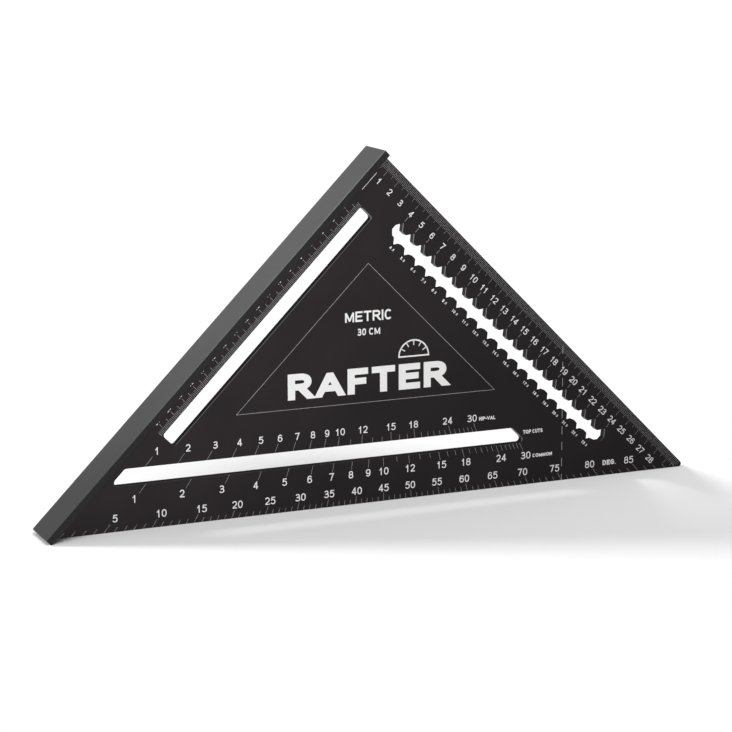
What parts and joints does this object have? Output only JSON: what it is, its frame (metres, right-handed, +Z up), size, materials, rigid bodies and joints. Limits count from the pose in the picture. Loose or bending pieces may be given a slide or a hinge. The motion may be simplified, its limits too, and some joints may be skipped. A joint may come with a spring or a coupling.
{
  "type": "speed square",
  "caption": "Large triangular rafter square: flat slotted aluminium blade with a scribing slot, gripped along one leg by a flange fence.",
  "frame": {"origin": "centre of the part's box on the surface it stands on, under its long edge", "axes": "+X along the long edge from the fence towards the ruler's tip, +Y through the plate from the front face to the back face, +Z up to the right-angled corner"},
  "size_m": [0.4308, 0.0286, 0.218],
  "materials": {
    "blade_metal": "black anodised, satin, laser marked",
    "fence_metal": "black anodised, satin"
  },
  "bodies": {
    "root": {"blade": "blade_metal", "fence": "fence_metal"}
  },
  "joints": []
}
